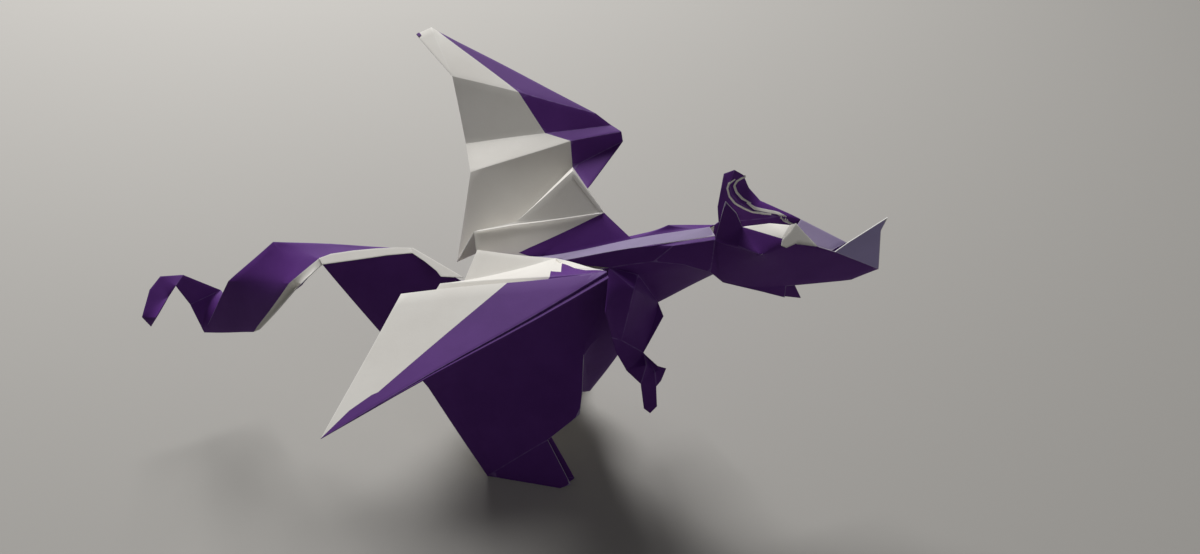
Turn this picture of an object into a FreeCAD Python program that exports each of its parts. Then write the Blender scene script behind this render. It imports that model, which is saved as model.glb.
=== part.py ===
"""Origami dragon: one folded sheet, built as one closed solid.

The dragon faces +X and its left side is +Y. Every fold corner is a share of the length, width and height
of the limb it belongs to. Flat panels join the corners, and the sheet is those panels given the thickness
of the paper, so that neighbouring panels meet at their folds with no gap.
"""
import FreeCAD
import Part
import math
import os

SIZES = {
    # the sheet
    "paper_thickness": 0.3,
    # trunk and hind legs
    "trunk_length": 42.0,
    "back_height": 54.5,
    "stance_width": 39.0,
    "foot_length": 21.5,
    "sole_width": 3.5,
    # neck and breast
    "mane_setback": 15.5,
    "neck_length": 55.5,
    "neck_width": 10.0,
    "neck_rise": 12.0,
    "breast_depth": 42.0,
    # wings
    "wing_length": 52.0,
    "right_wing_span": 60.0,
    "right_wing_rise": 18.0,
    "left_wing_span": 57.0,
    "left_wing_rise": 26.5,
    # forelegs
    "foreleg_length": 33.0,
    "right_foreleg_reach": 14.0,
    "right_foreleg_spread": 12.0,
    "left_foreleg_reach": 10.5,
    "left_foreleg_spread": 9.0,
    # tail
    "tail_length": 71.5,
    "tail_width": 18.0,
    "tail_drop": 33.5,
    # head
    "head_length": 35.0,
    "head_width": 15.0,
    "head_height": 24.0,
}

# Corners of each flank as shares of the trunk's length and of the back's height. Both flanks lean out
# from the back in one plane each, so their width follows from the height.
FLANK = {
    "rump": (0.0, 1.0),
    "hip": (0.975, 0.595),
    "knee": (0.975, 0.43),
    "shin": (0.965, 0.33),
    "ankle": (0.785, 0.195),
    "heel": (0.43, 0.0),
    "groin": (0.085, 0.395),
}

# The flanks' waists, given the same way: the left flank is folded lower there.
WAISTS = {
    "right_waist": (0.285, 0.88),
    "left_waist": (0.24, 0.77),
}

# Corners of each foot, from the heel, as shares of the foot's length and of the sole's width.
FOOT = {
    "toe": (0.86, 0.57, 0.0),
    "toe_front": (0.975, 0.43, 0.3),
    "toe_inner": (1.0, -0.43, 0.0),
    "heel_inner": (0.07, -0.7, 0.0),
}

# The foot's inner edge at the ankle, from the ankle, as shares of the sole's width.
ANKLE_FOLD = {
    "ankle_inner": (0.15, -0.3, 0.15),
}

# Corners of the neck, from the middle of the back: shares of its length, width and rise.
NECK_MIDDLE = {
    "back_middle": (0.0, 0.0, 0.0),
    "mane_back": (0.333, -0.2, 0.083),
    "mane_middle": (0.678, -0.4, 0.667),
    "mane_front": (0.972, -0.4, 1.05),
    "mane_slit": (0.973, -0.1, 0.875),
    "mane_left_front": (0.95, 0.2, 0.875),
    "mane_left_root": (0.64, 0.3, 0.375),
    "mane_left_back": (0.252, 0.1, -0.083),
    "throat": (1.0, 0.0, -0.042),
    "right_jowl_top": (0.811, -0.5, 0.833),
    "right_nape": (0.973, -0.5, 1.042),
    "left_jowl_top": (0.784, 0.4, 0.708),
    "left_nape": (0.968, 0.45, 0.775),
}
NECK_SIDES = {
    "shoulder": (0.559, 0.5, 0.208),
    "collar": (0.676, 0.45, 0.042),
    "jowl_back": (0.739, 0.55, 0.458),
    "jowl_low": (0.856, 0.5, 0.417),
    "jowl_front": (0.964, 0.45, 0.25),
}

# Corners of the breast, from the middle of the back: shares of the neck's length and width, and of
# the breast's depth.
BREAST = {
    "keel_top": (0.757, 0.0, -0.262),
    "keel_low": (0.468, 0.0, -1.0),
}
BREAST_SIDES = {
    "keel_back": (0.432, 0.3, -0.94),
}

# Corners of each wing, from the middle of the back: shares of the wing's length, span and rise.
RIGHT_WING = {
    "right_wing_elbow": (0.625, 0.417, 1.0),
    "right_wing_hem": (0.635, 0.437, 0.966),
    "right_wing_tip": (-0.356, 1.0, 0.083),
    "right_wing_ridge": (-0.192, 0.45, 0.556),
    "right_wing_valley": (-0.106, 0.392, 0.278),
    "right_wing_second_ridge": (-0.067, 0.333, 0.417),
    "right_wing_second_valley": (-0.025, 0.15, -0.089),
    "right_wing_peak": (0.375, 0.117, 0.333),
    "right_wing_crown": (0.013, 0.025, 0.121),
}
LEFT_WING = {
    "left_wing_tip": (-0.394, 1.0, 1.0),
    "left_wing_tip_front": (-0.356, 0.982, 0.981),
    "left_wing_curl": (-0.462, 0.964, 0.957),
    "left_wing_rim_1": (-0.24, 0.737, 0.811),
    "left_wing_rim_2": (-0.144, 0.526, 0.377),
    "left_wing_rim_3": (-0.087, 0.351, 0.321),
    "left_wing_rim_4": (-0.115, 0.079, -0.245),
    "left_wing_valley": (0.066, 0.122, -0.085),
    "left_wing_crown": (-0.019, 0.061, 0.132),
    "left_wing_arm_1": (0.096, 0.632, 0.811),
    "left_wing_arm_2": (0.24, 0.491, 0.585),
    "left_wing_arm_3": (0.365, 0.43, 0.604),
    "left_wing_arm_4": (0.38, 0.368, 0.419),
    "left_wing_flap": (0.395, 0.263, 0.531),
    "left_wing_lead_1": (0.471, 0.509, 0.792),
    "left_wing_lead_2": (0.548, 0.465, 0.736),
    "left_wing_elbow": (0.596, 0.421, 0.736),
    "left_wing_elbow_low": (0.603, 0.43, 0.626),
    "left_wing_armpit": (0.462, 0.246, 0.377),
    "left_wing_peak": (0.548, 0.149, 0.283),
    "left_wing_saddle": (0.163, 0.114, 0.189),
}

# Corners of each foreleg, from its shoulder: shares of its reach, spread and length.
FORELEG = {
    "cuff": (0.429, 0.333, -0.076),
    "upper_arm": (0.0, 0.667, -0.182),
    "forearm_out": (0.107, 0.708, -0.394),
    "forearm_in": (0.25, 0.583, -0.455),
    "forearm_front": (0.893, -0.167, -0.455),
    "wrist": (0.607, 0.417, -0.621),
    "paw_top": (0.679, 0.75, -0.621),
    "paw_low": (0.607, 0.875, -0.758),
    "paw_back": (0.357, 0.75, -0.682),
    "paw_heel": (0.179, 0.708, -0.53),
    "claw_back": (0.679, 1.0, -0.955),
    "claw_tip": (0.786, 1.0, -1.0),
    "claw_front": (0.893, 0.958, -0.939),
    "groove_top": (0.821, 0.708, -0.697),
    "groove_low": (0.857, 0.792, -0.803),
    "thumb_top": (0.857, 0.625, -0.667),
    "thumb_tip": (1.0, 0.625, -0.682),
    "thumb_low": (0.929, 0.708, -0.773),
}

# Corners of the tail, from the rump: shares of its length, width and drop.
TAIL = {
    "right_tail_root": (-0.285, -0.178, -0.11),
    "left_tail_root": (-0.287, 0.167, -0.075),
    "tail_fold_left": (-0.495, 0.318, -0.152),
    "tail_fold_right": (-0.299, -0.123, -0.085),
    "tail_hem_middle": (-0.163, 0.019, -0.047),
    "ribbon_left": (-0.659, 0.088, -0.458),
    "ribbon_right": (-0.385, -0.398, -0.2),
    "hem_middle": (-0.337, -0.486, -0.157),
    "ribbon_low_left": (-0.798, 0.075, -0.981),
    "ribbon_low_right": (-0.561, -0.315, -0.742),
    "hem_low": (-0.531, -0.362, -0.687),
    "bend_left": (-0.825, 0.111, -0.716),
    "bend_right": (-0.755, 0.5, -0.746),
    "crest_right": (-0.853, 0.333, -0.537),
    "crest_left": (-0.867, 0.167, -0.567),
    "curl_top": (-0.93, 0.278, -0.537),
    "curl_side": (-0.958, 0.111, -0.597),
    "curl_inner": (-0.888, 0.056, -0.627),
    "curl_low": (-0.966, -0.198, -0.719),
    "curl_end": (-0.939, -0.225, -0.793),
    "curl_back": (-0.9, -0.264, -0.668),
}

# Corners of the head, from the throat: shares of its length, width and height.
HEAD = {
    "chin": (0.843, 0.0, 0.0),
    "nose": (1.0, 0.0, 0.146),
    "right_brow_4": (0.7, -0.2, 0.417),
    "right_brow_3": (0.459, -0.32, 0.539),
    "right_brow_2": (0.362, -0.313, 0.586),
    "right_brow_1": (0.117, -0.3, 0.685),
    "cheek_back": (0.098, -0.553, 0.593),
    "cheek_front": (0.238, -0.655, 0.556),
    "ear_tip": (0.0, -0.333, 0.968),
    "ear_side": (0.073, -0.32, 0.843),
    "left_brow_4": (0.786, 0.2, 0.333),
    "left_brow_3": (0.429, 0.367, 0.542),
    "nose_horn_tip": (1.0, 0.1, 0.708),
    "nose_horn_front": (0.97, 0.052, 0.576),
    "nose_horn_root": (0.774, -0.125, 0.496),
    "crest_root": (-0.025, 0.3, 0.45),
    "crest_back_low": (-0.038, 0.367, 0.598),
    "crest_back": (-0.014, 0.467, 0.917),
    "crest_tip": (0.048, 0.467, 0.963),
    "crest_tip_front": (0.105, 0.5, 0.901),
    "crest_edge_1": (0.023, 0.333, 0.856),
    "crest_edge_2": (0.041, 0.267, 0.788),
    "crest_edge_3": (0.089, 0.233, 0.715),
    "crest_edge_4": (0.186, 0.233, 0.623),
    "crest_edge_5": (0.343, 0.267, 0.562),
    "crest_outer_1": (0.147, 0.533, 0.747),
    "crest_outer_2": (0.225, 0.467, 0.639),
    "tongue_back": (0.291, 0.067, 0.568),
    "tongue_front": (0.407, -0.067, 0.623),
    "flap_tip": (0.443, -0.067, 0.646),
    "flap_end": (0.586, -0.267, 0.5),
    "snout_back": (0.414, -0.1, 0.5),
    "snout_hinge": (0.49, 0.339, 0.507),
    "snout_side": (0.56, -0.2, 0.462),
    "snout_front": (0.683, -0.133, 0.396),
    "right_jaw_middle": (0.3, -0.233, -0.083),
    "right_jaw_tip": (0.429, -0.2, -0.146),
    "right_jaw_front": (0.429, -0.167, -0.021),
    "left_jaw_middle": (0.435, 0.167, -0.333),
    "left_jaw_tip": (0.549, 0.133, -0.323),
    "left_jaw_front": (0.485, 0.133, -0.125),
}
JAW = {
    "jaw_back": (0.029, 0.233, 0.0),
}

# Panels that both sides have. A star stands for the side's name.
BOTH_SIDES = """
    *tail_root rump *waist *hip *knee *shin *ankle *heel *groin
    *waist *shoulder *hip
    *shoulder *collar keel_top keel_low *keel_back *hip
    *heel *toe *toe_front *ankle
    *heel *toe *toe_inner *heel_inner
    *heel_inner *toe_inner *ankle_inner
    *shoulder *jowl_back *jowl_low *jowl_front throat keel_top *collar
    *jowl_back *jowl_low *jowl_front *nape *jowl_top
    *shoulder *cuff *forearm_in *forearm_out *upper_arm
    *shoulder *collar *cuff
    *collar keel_top *forearm_front *wrist *forearm_in *cuff
    *forearm_out *forearm_in *wrist *paw_top *paw_low *paw_back *paw_heel
    *wrist *groove_top *groove_low *claw_front *claw_tip *claw_back *paw_low *paw_top
    *wrist *thumb_top *thumb_tip *thumb_low *groove_low *groove_top
"""

NECK_PANELS = """
    mane_back mane_middle mane_front right_nape right_jowl_top right_jowl_back right_shoulder
    back_middle mane_back mane_middle mane_slit mane_left_front mane_left_root mane_left_back
    mane_left_back mane_left_root mane_left_front left_nape left_jowl_top left_jowl_back left_shoulder
"""

RIGHT_WING_PANELS = """
    right_wing_elbow right_wing_tip right_wing_ridge
    right_wing_elbow right_wing_tip right_wing_hem
    right_wing_elbow right_wing_ridge right_wing_valley
    right_wing_elbow right_wing_valley right_wing_second_ridge
    right_wing_elbow right_wing_second_ridge right_wing_second_valley right_wing_peak
    right_wing_second_valley right_wing_peak right_wing_crown
    right_wing_crown right_wing_peak mane_back back_middle
"""

LEFT_WING_PANELS = """
    left_wing_tip left_wing_tip_front left_wing_arm_1 left_wing_rim_1
    left_wing_tip left_wing_rim_1 left_wing_curl
    left_wing_tip_front left_wing_lead_1 left_wing_arm_1
    left_wing_rim_1 left_wing_arm_1 left_wing_arm_2 left_wing_rim_2
    left_wing_arm_1 left_wing_lead_1 left_wing_lead_2 left_wing_arm_2
    left_wing_rim_2 left_wing_arm_2 left_wing_arm_3 left_wing_rim_3
    left_wing_arm_2 left_wing_lead_2 left_wing_elbow left_wing_arm_3
    left_wing_rim_3 left_wing_arm_3 left_wing_arm_4 left_wing_valley left_wing_rim_4
    left_wing_arm_3 left_wing_elbow left_wing_elbow_low left_wing_arm_4
    left_wing_arm_4 left_wing_elbow_low left_wing_armpit
    left_wing_rim_4 left_wing_valley left_wing_saddle left_wing_crown
    left_wing_valley left_wing_arm_4 left_wing_flap left_wing_saddle
    left_wing_arm_4 left_wing_armpit left_wing_flap
    left_wing_armpit left_wing_peak left_wing_flap
    left_wing_flap left_wing_peak left_wing_saddle
    left_wing_crown left_wing_saddle left_wing_peak mane_left_root mane_left_back back_middle
"""

TAIL_PANELS = """
    rump tail_hem_middle tail_fold_right right_tail_root
    rump left_tail_root tail_fold_left tail_fold_right tail_hem_middle
    tail_fold_left ribbon_left ribbon_right tail_fold_right
    ribbon_left ribbon_low_left ribbon_low_right ribbon_right
    right_tail_root tail_fold_right ribbon_right hem_middle
    hem_middle ribbon_right ribbon_low_right hem_low
    ribbon_low_left ribbon_low_right bend_right bend_left
    bend_left bend_right crest_right crest_left
    crest_left crest_right curl_top curl_side curl_inner
    curl_inner curl_side curl_low curl_end curl_back
"""

HEAD_PANELS = """
    right_nape right_jowl_front right_jaw_back right_jaw_middle right_jaw_tip right_jaw_front chin \
right_brow_4 flap_end right_brow_3 cheek_front cheek_back
    chin nose right_brow_4
    cheek_back cheek_front right_brow_3 right_brow_2 right_brow_1
    right_nape cheek_back right_brow_1 ear_side ear_tip
    chin nose left_brow_4
    left_nape left_jowl_front left_jaw_back left_jaw_middle left_jaw_tip left_jaw_front chin \
left_brow_4 snout_hinge left_brow_3 crest_edge_5 crest_root
    right_brow_4 nose_horn_root nose_horn_tip nose_horn_front nose
    left_brow_4 snout_hinge snout_back snout_side snout_front
    crest_root crest_back_low crest_back crest_tip crest_edge_1 crest_edge_2 crest_edge_3 crest_edge_4 \
crest_edge_5
    crest_tip crest_tip_front crest_outer_1 crest_outer_2 left_brow_3 crest_edge_5 crest_edge_4 crest_edge_3 \
crest_edge_2 crest_edge_1
    right_brow_1 right_brow_2 tongue_front tongue_back
    right_brow_2 right_brow_3 flap_end flap_tip tongue_front
"""

SIDES = {"right_": -1.0, "left_": 1.0}
BLUNT_LIMIT = 1.3      # a sharp outer fold stands out by at most this many half thicknesses
FLAT_FOLD = 1e-5       # keeps the offset at a corner solvable where its panels lie in one plane
MERGE_TOLERANCE = 1e-5


def write_sizes(document):
    """Put the driving dimensions in the document's spreadsheet, each under its own alias."""
    sheet = document.addObject("Spreadsheet::Sheet", "Sizes")
    for row, (name, value) in enumerate(SIZES.items(), start=1):
        sheet.set(f"A{row}", name)
        sheet.set(f"B{row}", str(value))
        sheet.setAlias(f"B{row}", name)
    document.recompute()
    return sheet


def frame_corners(anchor, size, shares, prefix="", side=1.0):
    """Turn shares of a limb's length, width and height, counted from its anchor, into points."""
    corners = {}
    for name, (along, across, up) in shares.items():
        step = FreeCAD.Vector(along * size[0], side * across * size[1], up * size[2])
        corners[prefix + name] = anchor + step
    return corners


def trunk_corners(sheet):
    """Return the corners of the flanks and the feet."""
    corners = {}
    half_stance = sheet.stance_width / 2
    foot = (sheet.foot_length, sheet.sole_width, sheet.sole_width)
    fold = (sheet.sole_width, sheet.sole_width, sheet.sole_width)
    for prefix, side in SIDES.items():
        flank = {**FLANK, "waist": WAISTS[prefix + "waist"]}
        for name, (along, up) in flank.items():
            across = side * half_stance * (1 - up)
            corner = FreeCAD.Vector(along * sheet.trunk_length, across, up * sheet.back_height)
            corners["rump" if name == "rump" else prefix + name] = corner
        corners.update(frame_corners(corners[prefix + "heel"], foot, FOOT, prefix, side))
        corners.update(frame_corners(corners[prefix + "ankle"], fold, ANKLE_FOLD, prefix, side))
    return corners


def fold_corners(sheet):
    """Return every fold corner of the dragon by name."""
    corners = trunk_corners(sheet)
    rump = corners["rump"]
    middle = rump + FreeCAD.Vector(sheet.mane_setback, 0, 0)
    neck = (sheet.neck_length, sheet.neck_width, sheet.neck_rise)
    breast = (sheet.neck_length, sheet.neck_width, sheet.breast_depth)
    corners.update(frame_corners(middle, neck, NECK_MIDDLE))
    corners.update(frame_corners(middle, breast, BREAST))
    head = (sheet.head_length, sheet.head_width, sheet.head_height)
    corners.update(frame_corners(corners["throat"], head, HEAD))
    forelegs = {
        "right_": (sheet.right_foreleg_reach, sheet.right_foreleg_spread, sheet.foreleg_length),
        "left_": (sheet.left_foreleg_reach, sheet.left_foreleg_spread, sheet.foreleg_length),
    }
    for prefix, side in SIDES.items():
        corners.update(frame_corners(middle, neck, NECK_SIDES, prefix, side))
        corners.update(frame_corners(middle, breast, BREAST_SIDES, prefix, side))
        corners.update(frame_corners(corners["throat"], head, JAW, prefix, side))
        shoulder = corners[prefix + "shoulder"]
        corners.update(frame_corners(shoulder, forelegs[prefix], FORELEG, prefix, side))
    right_wing = (sheet.wing_length, -sheet.right_wing_span, sheet.right_wing_rise)
    left_wing = (sheet.wing_length, sheet.left_wing_span, sheet.left_wing_rise)
    corners.update(frame_corners(middle, right_wing, RIGHT_WING))
    corners.update(frame_corners(middle, left_wing, LEFT_WING))
    tail = (sheet.tail_length, sheet.tail_width, sheet.tail_drop)
    corners.update(frame_corners(rump, tail, TAIL))
    return corners


def panel_names():
    """Return every panel as a list of its corner names, in order round its edge."""
    lines = [line.split() for line in BOTH_SIDES.split("\n")]
    panels = [[name.replace("*", prefix) for name in line] for prefix in SIDES for line in lines]
    for group in (NECK_PANELS, RIGHT_WING_PANELS, LEFT_WING_PANELS, TAIL_PANELS, HEAD_PANELS):
        panels += [line.split() for line in group.split("\n")]
    return [panel for panel in panels if panel]


def polygon_normal(points):
    """Return the mean unit normal of a nearly flat polygon."""
    total = FreeCAD.Vector()
    for point, following in zip(points, points[1:] + points[:1]):
        total += point.cross(following)
    return total.normalize()


def is_ear(ring, index, normal, corners):
    """Say whether the corner at index can be cut off the ring as a triangle."""
    names = [ring[index - 1], ring[index], ring[(index + 1) % len(ring)]]
    triangle = [corners[name] for name in names]
    sides = list(zip(triangle, triangle[1:] + triangle[:1]))
    if (triangle[1] - triangle[0]).cross(triangle[2] - triangle[1]).dot(normal) <= 0:
        return False
    for name in ring:
        if name in names:
            continue
        point = corners[name]
        if all((end - start).cross(point - start).dot(normal) >= 0 for start, end in sides):
            return False
    return True


def split_panel(panel, corners):
    """Split a panel into triangles, each time across its shortest inner line."""
    ring = list(panel)
    normal = polygon_normal([corners[name] for name in ring])
    triangles = []
    while len(ring) > 3:
        ears = [index for index in range(len(ring)) if is_ear(ring, index, normal, corners)]
        spans = {index: corners[ring[index - 1]].distanceToPoint(corners[ring[(index + 1) % len(ring)]])
                 for index in ears}
        index = min(spans, key=spans.get)
        triangles.append((ring[index - 1], ring[index], ring[(index + 1) % len(ring)]))
        ring.pop(index)
    triangles.append(tuple(ring))
    return triangles


def triangle_normal(triangle, corners):
    """Return the unit normal of a triangle of corner names."""
    first, second, third = (corners[name] for name in triangle)
    return (second - first).cross(third - first).normalize()


def centroid(triangle, corners):
    """Return the middle of a triangle of corner names."""
    return sum((corners[name] for name in triangle), FreeCAD.Vector()) / 3


class Regions:
    """Groups the faces of the panels that look into the same open space round a corner."""

    def __init__(self):
        self.parent = {}

    def find(self, item):
        """Return the item that stands for the group of this one."""
        self.parent.setdefault(item, item)
        while self.parent[item] != item:
            item = self.parent[item]
        return item

    def join(self, first, second):
        """Make one group of the groups of two items."""
        self.parent[self.find(first)] = self.find(second)


def triangles_round_edges(triangles):
    """Return, for each edge, the triangles that share it."""
    edges = {}
    for number, triangle in enumerate(triangles):
        for start, end in zip(triangle, triangle[1:] + triangle[:1]):
            edges.setdefault(tuple(sorted((start, end))), []).append(number)
    return edges


def facing_pairs(edge, members, triangles, normals, corners):
    """Return the pairs of faces that look at each other across each gap round an edge.

    A face is a triangle's number with 1 for the side its normal points to and -1 for the other.
    """
    start, end = corners[edge[0]], corners[edge[1]]
    axis = (end - start).normalize()
    spokes = []
    for number in members:
        apex = next(name for name in triangles[number] if name not in edge)
        spoke = corners[apex] - start
        spoke = (spoke - axis * spoke.dot(axis)).normalize()
        spokes.append((number, spoke))
    zero = spokes[0][1]
    ninety = axis.cross(zero)

    def turn(item):
        return math.atan2(item[1].dot(ninety), item[1].dot(zero)) % (2 * math.pi)

    turning = sorted(spokes, key=turn)
    pairs = []
    for (number, spoke), (following, next_spoke) in zip(turning, turning[1:] + turning[:1]):
        ahead = 1 if normals[number].dot(axis.cross(spoke)) > 0 else -1
        behind = -1 if normals[following].dot(axis.cross(next_spoke)) > 0 else 1
        pairs.append(((number, ahead), (following, behind)))
    return pairs


def offset_step(faces, corner, triangles, normals, corners, half):
    """Return the step from a fold corner to the skin of the paper, half a thickness off every face."""
    rows = [normals[number] * side for number, side in faces]
    xx, yy, zz = (sum(row[axis] ** 2 for row in rows) + FLAT_FOLD for axis in range(3))
    xy, xz, yz = (sum(row[one] * row[two] for row in rows) for one, two in ((0, 1), (0, 2), (1, 2)))
    matrix = FreeCAD.Matrix(xx, xy, xz, 0, xy, yy, yz, 0, xz, yz, zz, 0, 0, 0, 0, 1)
    step = matrix.inverse().multVec(sum(rows, FreeCAD.Vector()) * half)
    middles = [centroid(triangles[number], corners) for number, _ in faces]
    hollow = any(row.dot(middle - corner) > half for row in rows for middle in middles)
    if not hollow and step.Length > BLUNT_LIMIT * half:
        step = step.normalize() * BLUNT_LIMIT * half
    return step


def open_loops(skin):
    """Return the triangles that close the skin where three free edges meet in one corner."""
    steps = {step for triangle in skin for step in zip(triangle, triangle[1:] + triangle[:1])}
    following = {end: start for start, end in steps if (end, start) not in steps}
    loops = []
    while following:
        loop = [next(iter(following))]
        while loop[-1] in following:
            loop.append(following.pop(loop[-1]))
        loops.append(tuple(loop[:-1]))
    return loops


def thicken(triangles, corners, thickness):
    """Return the skin of the folded sheet as points and triangles of point numbers."""
    half = thickness / 2
    normals = [triangle_normal(triangle, corners) for triangle in triangles]
    edges = triangles_round_edges(triangles)
    regions = Regions()
    for edge, members in edges.items():
        if len(members) < 2:
            continue
        for first, second in facing_pairs(edge, members, triangles, normals, corners):
            for name in edge:
                regions.join((name, *first), (name, *second))
    groups = {}
    for number, triangle in enumerate(triangles):
        for name in triangle:
            for side in (1, -1):
                groups.setdefault(regions.find((name, number, side)), []).append((number, side))
    points = []
    place = {}
    for key, faces in groups.items():
        corner = corners[key[0]]
        step = offset_step(faces, corner, triangles, normals, corners, half)
        if abs(corner.z) < half and step.z < 0:
            step.z = -half
        place[key] = len(points)
        points.append(corner + step)

    def skin_point(name, number, side):
        return place[regions.find((name, number, side))]

    skin = []
    for number, (first, second, third) in enumerate(triangles):
        skin.append(tuple(skin_point(name, number, 1) for name in (first, second, third)))
        skin.append(tuple(skin_point(name, number, -1) for name in (third, second, first)))
    for number, triangle in enumerate(triangles):
        for start, end in zip(triangle, triangle[1:] + triangle[:1]):
            if len(edges[tuple(sorted((start, end)))]) > 1:
                continue
            top_start, top_end = skin_point(start, number, 1), skin_point(end, number, 1)
            low_start, low_end = skin_point(start, number, -1), skin_point(end, number, -1)
            skin.append((top_end, top_start, low_start))
            skin.append((top_end, low_start, low_end))
    skin = [triangle for triangle in skin if len(set(triangle)) == 3]
    return points, skin + open_loops(skin)


def skin_solid(points, skin):
    """Return one solid bounded by the skin's triangles."""
    shell = Part.Shape()
    shell.makeShapeFromMesh((points, skin), MERGE_TOLERANCE)
    return Part.Solid(Part.Shell(shell.Faces))


def folded_dragon(document, sheet):
    """Add the folded sheet to the document, standing on its feet over the origin."""
    corners = fold_corners(sheet)
    triangles = [triangle for panel in panel_names() for triangle in split_panel(panel, corners)]
    points, skin = thicken(triangles, corners, sheet.paper_thickness)
    solid = skin_solid(points, skin)
    box = solid.BoundBox
    feature = document.addObject("Part::Feature", "FoldedDragon")
    feature.Label = "folded_dragon"
    feature.Shape = solid
    to_origin = FreeCAD.Vector(-box.Center.x, -box.Center.y, -box.ZMin)
    feature.Placement = FreeCAD.Placement(to_origin, FreeCAD.Rotation())
    return feature


def main():
    """Build the document, check it and write its one sub-part."""
    document = FreeCAD.newDocument("OrigamiDragon")
    sheet = write_sizes(document)
    features = [folded_dragon(document, sheet)]
    document.recompute()
    for item in document.Objects:
        if "Invalid" in item.State or "Error" in item.State:
            raise RuntimeError(f"{item.Label} failed to recompute")
    for feature in features:
        if feature.Shape.isNull() or not feature.Shape.isValid():
            raise RuntimeError(f"{feature.Label} has no valid shape")
    os.makedirs("parts", exist_ok=True)
    for feature in features:
        feature.Shape.exportStep(f"parts/{feature.Label}.step")
        print(feature.Label, feature.Shape.BoundBox, feature.Shape.Volume)


main()
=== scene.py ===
"""The looks of an origami dragon folded from one sheet of paper, violet on one side and white on the other.

The dragon is one folded sheet. Each limb is a class that knows its own sizes, places its fold corners as
shares of them and names the flat panels between those corners. The sheet is all those panels, meshed on a
triangular grid, eased where a panel isn't quite flat, bent a little as handled paper is, and given its
thickness. Narrow flaps that lie on a panel, such as the white hem along the back, are thin sheets of their
own.
"""
import logging
import math
from dataclasses import astuple, dataclass, replace
from enum import Enum
from typing import ClassVar

import bpy
import numpy as np
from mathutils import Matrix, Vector


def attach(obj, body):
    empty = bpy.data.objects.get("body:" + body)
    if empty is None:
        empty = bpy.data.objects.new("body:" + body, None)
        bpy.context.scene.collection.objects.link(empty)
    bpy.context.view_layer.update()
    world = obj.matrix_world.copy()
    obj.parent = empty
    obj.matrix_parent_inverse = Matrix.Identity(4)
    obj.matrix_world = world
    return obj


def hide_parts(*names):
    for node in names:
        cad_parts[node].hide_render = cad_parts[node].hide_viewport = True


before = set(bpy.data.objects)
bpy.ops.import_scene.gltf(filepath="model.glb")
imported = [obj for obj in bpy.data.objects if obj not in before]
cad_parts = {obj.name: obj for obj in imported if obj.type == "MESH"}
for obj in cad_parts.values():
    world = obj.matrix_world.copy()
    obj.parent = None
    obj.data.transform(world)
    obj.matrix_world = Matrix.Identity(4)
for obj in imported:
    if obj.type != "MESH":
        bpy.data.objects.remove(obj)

LOG = logging.getLogger("origami_dragon")
MM = 0.001
NODE = "folded_dragon"
FAR = 3.0               # distances from folds and cut edges are kept up to here, in millimetres
ON_THE_LINE = 1e-6      # a grid point this near a line lies on it, in millimetres
SAME_POINT = 4          # grid points that agree in this many decimals of a millimetre are one
TINY = 1e-6             # keeps a division by a length solvable
Corners = dict[str, np.ndarray]
Arrays = dict[str, np.ndarray]
Shares = dict[str, tuple[float, ...]]
Span = tuple[float, float]
Colour = tuple[float, float, float]


class Side(Enum):
    """The two sides of the dragon, with the sign of Y on each."""

    RIGHT = -1.0
    LEFT = 1.0

    @property
    def prefix(self) -> str:
        """The start of the names of this side's corners."""
        return f"{self.name.lower()}_"


class Face(Enum):
    """The looks of the paper: its violet and white faces, the cut edge, and two painted looks.

    The pale look is painted sheen on violet paper and painted shade with reflected violet on white paper;
    the lilac look is painted shade with reflected violet on white paper.
    """

    VIOLET = "violet"
    WHITE = "white"
    PALE = "pale"
    LILAC = "lilac"
    EDGE = "edge"


FACE_LETTERS = {"V": Face.VIOLET, "W": Face.WHITE, "P": Face.PALE, "L": Face.LILAC}
FACE_PAIRS = ("VV", "VW", "WV", "WW", "PP", "LL")
FINISH_ORDER = tuple((FACE_LETTERS[outer], FACE_LETTERS[inner]) for outer, inner in FACE_PAIRS)
# What the cut edge looks like on a sheet with each of those pairs of faces. The violet-and-white
# sheet's edge takes the pale look: the paper's edge, painted lighter as the highlight along a folded edge.
RIM_ORDER = (Face.VIOLET, Face.PALE, Face.EDGE, Face.EDGE, Face.PALE, Face.EDGE)


class Facing(Enum):
    """The way a panel's outer face looks."""

    UP = (0.0, 0.0, 1.0)
    DOWN = (0.0, 0.0, -1.0)
    RIGHT = (0.0, -1.0, 0.0)
    LEFT = (0.0, 1.0, 0.0)


@dataclass(frozen=True)
class Panel:
    """A flat stretch of paper between folds."""

    corners: tuple[str, ...]
    outer: Face
    inner: Face
    facing: Facing
    soft: frozenset = frozenset()

    @property
    def edges(self) -> list[frozenset]:
        """The panel's edges in order, each as its two corners."""
        return [frozenset(edge) for edge in zip(self.corners, self.corners[1:] + self.corners[:1])]


def read_shares(text: str) -> Shares:
    """Read corners from a text such as "elbow 0.6,0.4,1 tip -0.4,1,0.1".

    Args:
        text: Each corner's name and its shares of the limb's sizes.

    Returns:
        Corner name to its shares.
    """
    words = text.split()
    return {name: tuple(map(float, numbers.split(","))) for name, numbers in zip(words[::2], words[1::2])}


def read_panels(text: str, prefix: str = "") -> list[Panel]:
    """Read panels from lines of two face letters, the way the panel looks and its corners.

    Args:
        text: One panel a line, such as "VW side rump *waist *hip"; a star stands for the prefix, the word
            side for the side that the prefix names, and the fold from a corner after a tilde to the next
            corner is a soft curve.
        prefix: What a star stands for, such as "right_".

    Returns:
        The panels in order.
    """
    panels = []
    for line in filter(str.strip, text.split("\n")):
        letters, way, *names = line.split()
        way = prefix.rstrip("_") if way == "side" else way
        corners = tuple(name.replace("*", prefix).lstrip("~") for name in names)
        outer, inner = (FACE_LETTERS[letter] for letter in letters)
        panel = Panel(corners, outer, inner, Facing[way.upper()])
        soft = frozenset(edge for edge, name in zip(panel.edges, names) if name.startswith("~"))
        panels.append(replace(panel, soft=soft))
    return panels


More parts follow.
